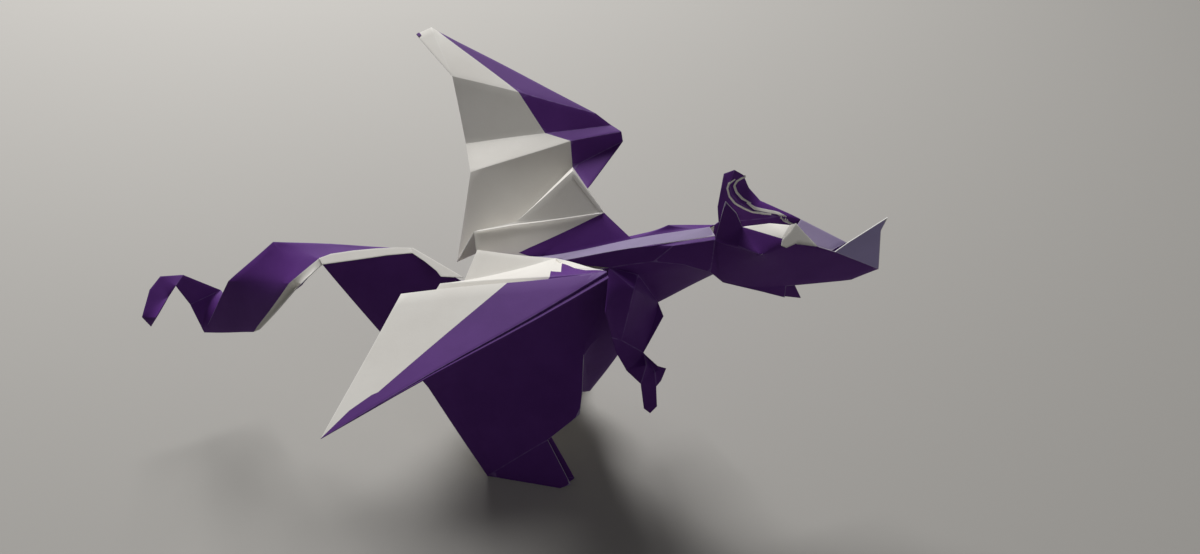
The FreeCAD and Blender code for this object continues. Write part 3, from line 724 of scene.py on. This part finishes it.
@dataclass
class FoldedSheet:
    """Paper folded along the edges of its panels, as one welded mesh with a thickness."""

    name: str
    corners: Corners
    panels: list[Panel]
    thickness: float = 0.24
    grid: TriangleGrid = TriangleGrid(8)
    easing_rounds: int = 60

    def edge_counts(self) -> dict[frozenset, int]:
        """Count the panels along each edge: one at a cut edge, two or more at a fold, none at a soft fold."""
        counts: dict[frozenset, int] = {}
        for edge in (edge for panel in self.panels for edge in panel.edges):
            counts[edge] = counts.get(edge, 0) + 1
        return counts | {edge: 0 for panel in self.panels for edge in panel.soft}

    def grid_panel(self, panel: Panel, counts: dict[frozenset, int]) -> Arrays:
        """Lay the triangular grid over one panel.

        Args:
            panel: The panel.
            counts: How many panels each edge has.

        Returns:
            Points, faces, which points are on the panel's outline, the panel's normal at each point,
            and each point's distance to the nearest fold and to the nearest cut edge.
        """
        outline = np.array([self.corners[name] for name in panel.corners])
        normal = flat_normal(outline)
        flip = normal @ np.array(panel.facing.value) < 0
        triangles = np.array(cut_into_triangles(outline))
        weights = self.grid.weights()
        points = np.einsum("kb,tbc->tkc", weights, outline[triangles]).reshape(-1, 3)
        offsets = np.arange(len(triangles))[:, None, None] * len(weights)
        faces = (self.grid.faces()[None] + offsets).reshape(-1, 3)
        ends = np.roll(outline, -1, axis=0)
        kinds = np.array([counts[edge] for edge in panel.edges])
        fold = distance_to_lines(points, outline[kinds > 1], ends[kinds > 1])
        cut = distance_to_lines(points, outline[kinds == 1], ends[kinds == 1])
        pinned = np.minimum(fold, cut) < ON_THE_LINE
        if panel.outer == panel.inner == Face.VIOLET:
            cut = np.full(len(points), FAR)
        return {
            "points": points,
            "faces": faces[:, ::-1] if flip else faces,
            "pinned": pinned,
            "normal": np.tile(-normal if flip else normal, (len(points), 1)),
            "fold": fold.clip(0, FAR),
            "cut": cut.clip(0, FAR),
            "finish": np.full(len(faces), FINISH_ORDER.index((panel.outer, panel.inner))),
        }

    def weld(self, grids: list[Arrays]) -> Arrays:
        """Join the panels' grids where their points meet.

        Args:
            grids: What grid_panel gave for each panel.

        Returns:
            The same arrays for the whole sheet, with each shared point once.
        """
        starts = np.cumsum([0] + [len(part["points"]) for part in grids[:-1]])
        faces = np.concatenate([part["faces"] + start for part, start in zip(grids, starts)])
        every = {key: np.concatenate([part[key] for part in grids]) for key in grids[0] if key != "faces"}
        rounded = np.round(every["points"], SAME_POINT)
        _, first, twin = np.unique(rounded, axis=0, return_index=True, return_inverse=True)
        twin = twin.ravel()
        normal = np.zeros((len(first), 3))
        np.add.at(normal, twin, every["normal"])
        normal /= np.linalg.norm(normal, axis=1, keepdims=True).clip(TINY)
        sheet = {"faces": twin[faces], "finish": every["finish"], "points": every["points"][first]}
        sheet["normal"] = normal
        for key in ("fold", "cut"):
            sheet[key] = np.full(len(first), FAR)
            np.minimum.at(sheet[key], twin, every[key])
        sheet["pinned"] = np.zeros(len(first), bool)
        np.logical_or.at(sheet["pinned"], twin, every["pinned"])
        return sheet

    def ease(self, sheet: Arrays) -> np.ndarray:
        """Ease the inside of each panel towards a smooth surface between its edges.

        Each round moves a free point along its panel's normal to the mean of its neighbours.

        Args:
            sheet: The welded sheet.

        Returns:
            The points after easing.
        """
        faces = sheet["faces"]
        pairs = np.concatenate((faces[:, [0, 1]], faces[:, [1, 2]], faces[:, [2, 0]]))
        pairs = np.unique(np.concatenate((pairs, pairs[:, ::-1])), axis=0)
        points = sheet["points"].copy()
        count = np.bincount(pairs[:, 0], minlength=len(points))[:, None]
        free = ~sheet["pinned"]
        for _ in range(self.easing_rounds):
            total = np.stack([
                np.bincount(pairs[:, 0], points[pairs[:, 1], axis], len(points)) for axis in range(3)
            ], axis=1)
            lift = ((total / count - points) * sheet["normal"]).sum(axis=1, keepdims=True)
            points[free] += (lift * sheet["normal"])[free]
        return points

    def shape(self) -> Arrays:
        """Return the welded sheet with its points eased."""
        counts = self.edge_counts()
        sheet = self.weld([self.grid_panel(panel, counts) for panel in self.panels])
        return sheet | {"points": self.ease(sheet)}

    def build(
        self, sheet: Arrays, warp: Warp, origin: np.ndarray, finishes: dict[Face, bpy.types.Material]
    ) -> bpy.types.Object:
        """Make the sheet's object, in metres in the row's frame.

        Args:
            sheet: What shape gave.
            warp: How handling has bent the paper.
            origin: The row's origin, in the corners' millimetres.
            finishes: The material of each face of the paper and of each painted look.

        Returns:
            The object, with its thickness as a modifier.
        """
        points = (warp.bend(sheet["points"]) - origin) * MM
        mesh = bpy.data.meshes.new(self.name)
        mesh.from_pydata(points.tolist(), [], sheet["faces"].tolist())
        mesh.polygons.foreach_set("material_index", sheet["finish"].astype(np.int32))
        mesh.polygons.foreach_set("use_smooth", np.ones(len(mesh.polygons), bool))
        for key in ("fold", "cut"):
            attribute = mesh.attributes.new(f"{key}_mm", "FLOAT", "POINT")
            attribute.data.foreach_set("value", sheet[key].astype(np.float32))
        outer, inner = zip(*FINISH_ORDER)
        for face in outer + inner + RIM_ORDER:
            mesh.materials.append(finishes[face])
        mesh.update()
        piece = bpy.data.objects.new(self.name, mesh)
        bpy.context.scene.collection.objects.link(piece)
        Thickening(self.thickness * MM).add_to(piece)
        return piece


@dataclass(frozen=True)
class Drape:
    """How a layer is laid on the sheet under it. Lengths are in millimetres."""

    lift: float = 0.22
    margin: float = 4.0         # how far round the layer the sheet's triangles are looked at
    reach: float = 1.0          # how far a layer's point may be from the sheet before the move
    slack: float = 0.01         # how far outside a triangle still counts as inside, as a share of its edges
    smallest: float = 1e-9      # keeps the division solvable where a triangle stands on edge

    def lay(self, layer: Arrays, sheet: Arrays) -> np.ndarray:
        """Lay a layer's points on the sheet under it.

        A line along the layer's normal meets each triangle's plane at one height. The nearest height whose
        place is inside its triangle is the sheet's, and the point moves to that height plus the lift. A
        point beside the sheet takes the height of the nearest point that is over it.

        Args:
            layer: The layer's welded grid.
            sheet: The sheet's welded grid.

        Returns:
            The layer's points after the move.
        """
        points, normal = layer["points"], layer["normal"][0]
        starts, seconds, thirds = sheet["points"][sheet["faces"].T]
        low, high = points.min(axis=0) - self.margin, points.max(axis=0) + self.margin
        near = (starts > low).all(axis=1) & (starts < high).all(axis=1)
        start, first, second = starts[near], (seconds - starts)[near], (thirds - starts)[near]
        side = np.cross(normal, second)
        size = (first * side).sum(axis=1)
        size = np.where(np.abs(size) < self.smallest, self.smallest, size)
        gap = points[:, None] - start[None]
        along = (gap * side).sum(axis=2) / size
        turned = np.cross(gap, first[None])
        across = turned @ normal / size
        height = (turned * second).sum(axis=2) / size
        inside = (along > -self.slack) & (across > -self.slack) & (along + across < 1 + self.slack)
        inside &= np.abs(height) < self.reach
        height = np.where(inside, height, np.inf)
        best = np.abs(height).argmin(axis=1)
        rows = np.arange(len(points))
        found, chosen = inside[rows, best], height[rows, best]
        if not found.any():
            return points
        twin = np.linalg.norm(points[:, None] - points[found][None], axis=2).argmin(axis=1)
        return points + (chosen[found][twin] + self.lift)[:, None] * normal


@dataclass(frozen=True)
class Thickening:
    """A sheet's thickness in metres, and how far its folds are rounded."""

    thickness: float
    rounding_share: float = 0.3
    rounding_steps: int = 2
    sharp_fold: float = 14.0        # folds by more degrees than this are rounded
    merge: float = 1e-7

    def add_to(self, piece: bpy.types.Object) -> None:
        """Give a sheet its thickness and round its folds.

        Args:
            piece: The sheet's object.
        """
        solid = piece.modifiers.new("paper_thickness", "SOLIDIFY")
        solid.solidify_mode = "NON_MANIFOLD"
        solid.nonmanifold_thickness_mode = "FIXED"
        solid.nonmanifold_boundary_mode = "NONE"
        solid.nonmanifold_merge_threshold = self.merge
        solid.thickness = self.thickness
        solid.offset = 0.0
        solid.material_offset = len(FINISH_ORDER)
        solid.material_offset_rim = 2 * len(FINISH_ORDER)
        bevel = piece.modifiers.new("soft_folds", "BEVEL")
        bevel.width = self.thickness * self.rounding_share
        bevel.segments = self.rounding_steps
        bevel.limit_method = "ANGLE"
        bevel.angle_limit = math.radians(self.sharp_fold)


@dataclass(frozen=True)
class Noise:
    """A noise over the object: its waves a metre, its octaves and how strong the finer ones are."""

    waves: float
    detail: float = 2.0
    roughness: float = 0.5


@dataclass(frozen=True)
class Node:
    """A short hand for adding shader nodes to one tree."""

    tree: bpy.types.NodeTree

    def add(self, kind: str, **settings: object) -> bpy.types.Node:
        """Add a node of a kind and set its properties."""
        node = self.tree.nodes.new(kind)
        for key, value in settings.items():
            setattr(node, key, value)
        return node

    def feed(self, socket: bpy.types.NodeSocket, value: object) -> None:
        """Give an input its value: the output of another node is linked, and anything else is set."""
        if isinstance(value, bpy.types.NodeSocket):
            self.tree.links.new(value, socket)
        else:
            socket.default_value = value

    def math(self, operation: str, first: object, second: object) -> bpy.types.NodeSocket:
        """Return the result of a sum, product or the like of two values."""
        node = self.add("ShaderNodeMath", operation=operation)
        for socket, value in zip(node.inputs, (first, second)):
            self.feed(socket, value)
        return node.outputs[0]

    def ramp(self, value: bpy.types.NodeSocket, source: Span, target: Span) -> bpy.types.NodeSocket:
        """Return a value carried from the source range onto the target range, smoothly."""
        node = self.add("ShaderNodeMapRange", interpolation_type="SMOOTHSTEP")
        names = ("Value", "From Min", "From Max", "To Min", "To Max")
        for name, fed in zip(names, (value, *source, *target)):
            self.feed(node.inputs[name], fed)
        return node.outputs["Result"]

    def mix(self, factor: object, first: object, second: object) -> bpy.types.NodeSocket:
        """Return a colour between two, by a factor."""
        node = self.add("ShaderNodeMix", data_type="RGBA")
        for name, value in zip(("Factor_Float", "A_Color", "B_Color"), (factor, first, second)):
            self.feed(next(socket for socket in node.inputs if socket.identifier == name), value)
        return next(socket for socket in node.outputs if socket.identifier == "Result_Color")

    def noise(self, noise: Noise) -> bpy.types.NodeSocket:
        """Return a noise's value."""
        where = self.add("ShaderNodeTexCoord").outputs["Object"]
        node = self.add("ShaderNodeTexNoise")
        names = ("Vector", "Scale", "Detail", "Roughness")
        for name, value in zip(names, (where, *astuple(noise))):
            self.feed(node.inputs[name], value)
        return node.outputs["Fac"]

    def attribute(self, name: str) -> bpy.types.NodeSocket:
        """Return a mesh attribute's value."""
        return self.add("ShaderNodeAttribute", attribute_name=name).outputs["Fac"]


@dataclass(frozen=True)
class PaperFinish:
    """One look of the folding paper: its ink or bare fibre, mottle, gloss, and folds lightened partly as
    rubbed fibre and partly as painted highlight. The pale and lilac looks are painted light on the paper.

    The widths are in millimetres and the bump's depth is in metres. The solid edge is the share of the edge's
    width where the core shows in full. A span is where a noise's value carries a change from none to all.
    """

    name: str
    colour: Colour
    mottle: Colour
    worn: Colour
    core: Colour
    roughness: float
    rub_and_highlight_share: float
    fold_width: float = 0.22
    edge_width: float = 0.1
    solid_edge: float = 0.4
    gloss: float = 0.15
    clouds: Noise = Noise(70.0, 3.0, 0.6)
    cloud_span: Span = (0.3, 0.7)
    fibres: Noise = Noise(2600.0, 4.0, 0.65)
    fibre_span: Span = (0.35, 0.7)
    fibre_share: float = 0.25
    rubs: Noise = Noise(420.0, 3.0, 0.6)
    rub_span: Span = (0.35, 0.65)
    least_rub: float = 0.25
    grain: Noise = Noise(520.0)
    grain_share: float = 0.8
    bump_strength: float = 0.25
    bump_depth: float = 0.00006

    def material(self) -> bpy.types.Material:
        """Make the paper's material."""
        material = bpy.data.materials.new(self.name)
        material.use_nodes = True
        tree = material.node_tree
        node = Node(tree)
        shades = (self.colour, self.mottle, self.worn, self.core)
        colour, mottle, worn, core = ((*shade, 1.0) for shade in shades)
        fibre = node.noise(self.fibres)
        ground = node.mix(node.ramp(node.noise(self.clouds), self.cloud_span, (0.0, 1.0)), colour, mottle)
        ground = node.mix(node.ramp(fibre, self.fibre_span, (0.0, self.fibre_share)), ground, mottle)
        rubbed = node.ramp(node.noise(self.rubs), self.rub_span, (self.least_rub, 1.0))
        # Folds are lightened towards the fold colour: partly rubbed fibre, partly painted highlight where a
        # rounded fold would catch light.
        fold = node.ramp(node.attribute("fold_mm"), (0.0, self.fold_width), (self.rub_and_highlight_share, 0.0))
        ground = node.mix(node.math("MULTIPLY", fold, rubbed), ground, worn)
        rim = (self.edge_width * self.solid_edge, self.edge_width)
        ground = node.mix(node.ramp(node.attribute("cut_mm"), rim, (1.0, 0.0)), ground, core)
        grain = node.math("MULTIPLY", node.noise(self.grain), self.grain_share)
        bump = node.add("ShaderNodeBump")
        node.feed(bump.inputs["Strength"], self.bump_strength)
        node.feed(bump.inputs["Distance"], self.bump_depth)
        node.feed(bump.inputs["Height"], node.math("ADD", fibre, grain))
        shader = tree.nodes["Principled BSDF"]
        node.feed(shader.inputs["Base Color"], ground)
        node.feed(shader.inputs["Roughness"], self.roughness)
        node.feed(shader.inputs["Specular IOR Level"], self.gloss)
        node.feed(shader.inputs["Normal"], bump.outputs["Normal"])
        return material


BARE_PAPER: Colour = (0.8, 0.775, 0.725)
PAPER_FINISHES = {
    Face.VIOLET: PaperFinish(
        "violet_face", (0.095, 0.022, 0.19), (0.115, 0.03, 0.225), (0.33, 0.22, 0.5), (0.33, 0.26, 0.44),
        0.6, 0.4,
    ),
    Face.WHITE: PaperFinish(
        "white_face", BARE_PAPER, (0.76, 0.73, 0.68), (0.84, 0.82, 0.78), (0.84, 0.82, 0.78), 0.7, 0.6
    ),
    # Painted light: sheen on the violet snout roof, and shade with reflected violet on the white mane strip;
    # also the violet-and-white sheet's edge, painted lighter as a fold's highlight.
    Face.PALE: PaperFinish(
        "pale_face", (0.29, 0.235, 0.38), (0.25, 0.205, 0.33), (0.5, 0.44, 0.55), (0.45, 0.4, 0.5), 0.65, 0.6
    ),
    # Painted light: shade with reflected violet on the white nose horn.
    Face.LILAC: PaperFinish(
        "lilac_face", (0.42, 0.36, 0.64), (0.37, 0.32, 0.57), (0.65, 0.6, 0.74), BARE_PAPER, 0.65, 0.6
    ),
    Face.EDGE: PaperFinish(
        "cut_edge", (0.83, 0.82, 0.8), (0.72, 0.7, 0.7), (0.7, 0.68, 0.68), (0.83, 0.82, 0.8), 0.85, 0.1
    ),
}


@dataclass(frozen=True)
class FloorFinish:
    """The plain pale floor."""

    colour: Colour = (0.43, 0.415, 0.39)
    roughness: float = 0.85

    def material(self) -> bpy.types.Material:
        """Make the floor's material."""
        material = bpy.data.materials.new("pale_floor")
        material.use_nodes = True
        shader = material.node_tree.nodes["Principled BSDF"]
        shader.inputs["Base Color"].default_value = (*self.colour, 1.0)
        shader.inputs["Roughness"].default_value = self.roughness
        return material


@dataclass(frozen=True)
class Dragon:
    """The whole dragon: its limbs, joined into one folded sheet."""

    limbs: tuple[Limb, ...] = (
        Trunk(), Neck(), RightWing(), LeftWing(), RightForeleg(), LeftForeleg(), Tail(), Head(),
    )
    layer_thickness: float = 0.1
    layer_grid: TriangleGrid = TriangleGrid(6)
    drape: Drape = Drape()
    origin: tuple[float, float, float] = (18.496, -1.501, -0.15)

    def corners(self) -> Corners:
        """Place every fold corner, each limb from where it joins the ones before it."""
        points: Corners = {}
        for limb in self.limbs:
            points |= limb.corners(points)
        return points

    def build(self, finishes: dict[Face, bpy.types.Material]) -> None:
        """Make the folded sheet and put it in the CAD node's place.

        Args:
            finishes: The material of each face of the paper and of each painted look.
        """
        corners, warp, origin = self.corners(), Warp(), np.array(self.origin)
        panels = [panel for limb in self.limbs for panel in limb.panels()]
        sheet = FoldedSheet("folded_sheet", corners, panels)
        under = sheet.shape()
        pieces = [sheet.build(under, warp, origin, finishes)]
        for layer in (layer for limb in self.limbs for layer in limb.layers()):
            outline = layer.corners(corners, self.drape.lift)
            flap = FoldedSheet(layer.name, outline, [layer.panel], self.layer_thickness, self.layer_grid, 0)
            shape = flap.shape()
            if layer.draped:
                shape["points"] = self.drape.lay(shape, under)
            pieces.append(flap.build(shape, warp, origin, finishes))
        for piece in pieces:
            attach(piece, "root")
            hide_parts(NODE)
        LOG.info("%d pieces, %d panels", len(pieces), len(panels))


@dataclass(frozen=True)
class Lamp:
    """A soft square lamp that looks at the dragon, in metres and watts."""

    name: str
    hung_at: tuple[float, float, float]
    size: float
    power: float

    def hang(self) -> None:
        """Hang the lamp in its place."""
        data = bpy.data.lights.new(self.name, "AREA")
        data.size = self.size
        data.energy = self.power
        lamp = bpy.data.objects.new(self.name, data)
        lamp.location = self.hung_at
        lamp.rotation_euler = (-Vector(self.hung_at)).to_track_quat("-Z", "Y").to_euler()
        bpy.context.scene.collection.objects.link(lamp)


@dataclass(frozen=True)
class Studio:
    """The floor, the soft lamps, the pale surroundings and the camera."""

    floor_half_width: float = 3.0
    elevation: float = 40.0
    azimuth: float = 6.0
    focal_share: float = 1150 / 1200
    camera_distance: float = 0.2645
    aim: tuple[float, float, float] = (0.025504, 0.001501, 0.05015)
    sensor_width: float = 36.0
    nearest_seen: float = 0.01
    lamps: tuple[Lamp, ...] = (
        Lamp("key", (-0.24, 0.5, 0.58), 0.35, 6.9),
        Lamp("fill", (0.5, -0.42, 0.5), 0.4, 0.35),
    )
    ambient: float = 0.065
    backdrop: Colour = (0.86, 0.85, 0.83)

    def build(self) -> None:
        """Set up everything round the dragon."""
        self.floor()
        self.camera()
        for lamp in self.lamps:
            lamp.hang()
        self.surroundings()
        bpy.context.scene.view_settings.view_transform = "Standard"

    def floor(self) -> None:
        """Lay the floor as one square at the level of the soles."""
        half = self.floor_half_width
        mesh = bpy.data.meshes.new("floor")
        ring = [(-half, -half, 0.0), (half, -half, 0.0), (half, half, 0.0), (-half, half, 0.0)]
        mesh.from_pydata(ring, [], [(0, 1, 2, 3)])
        mesh.materials.append(FloorFinish().material())
        floor = bpy.data.objects.new("floor", mesh)
        bpy.context.scene.collection.objects.link(floor)

    def camera(self) -> None:
        """Place the camera above and to the right of the dragon, looking at the base of its neck."""
        tilt, turn = math.radians(self.elevation), math.radians(self.azimuth)
        back = Vector((math.sin(turn) * math.cos(tilt), -math.cos(turn) * math.cos(tilt), math.sin(tilt)))
        data = bpy.data.cameras.new("camera")
        data.sensor_width = self.sensor_width
        data.lens = self.sensor_width * self.focal_share
        data.clip_start = self.nearest_seen
        camera = bpy.data.objects.new("camera", data)
        camera.location = Vector(self.aim) + back * self.camera_distance
        camera.rotation_euler = (-back).to_track_quat("-Z", "Y").to_euler()
        bpy.context.scene.collection.objects.link(camera)
        bpy.context.scene.camera = camera

    def surroundings(self) -> None:
        """Light everything evenly and show a pale background to the camera."""
        world = bpy.data.worlds.new("surroundings")
        bpy.context.scene.world = world
        world.use_nodes = True
        tree = world.node_tree
        node = Node(tree)
        light = tree.nodes["Background"]
        shown = node.add("ShaderNodeBackground")
        choice = node.add("ShaderNodeMixShader")
        node.feed(light.inputs["Color"], (1.0, 1.0, 1.0, 1.0))
        node.feed(light.inputs["Strength"], self.ambient)
        node.feed(shown.inputs["Color"], (*self.backdrop, 1.0))
        seen = node.add("ShaderNodeLightPath").outputs["Is Camera Ray"]
        for socket, value in zip(choice.inputs, (seen, light.outputs[0], shown.outputs[0])):
            node.feed(socket, value)
        node.feed(tree.nodes["World Output"].inputs["Surface"], choice.outputs[0])


def main() -> None:
    """Build the dragon and its studio."""
    logging.basicConfig(level=logging.INFO)
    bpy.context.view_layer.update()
    Dragon().build({face: finish.material() for face, finish in PAPER_FINISHES.items()})
    Studio().build()


if __name__ == "__main__":
    main()
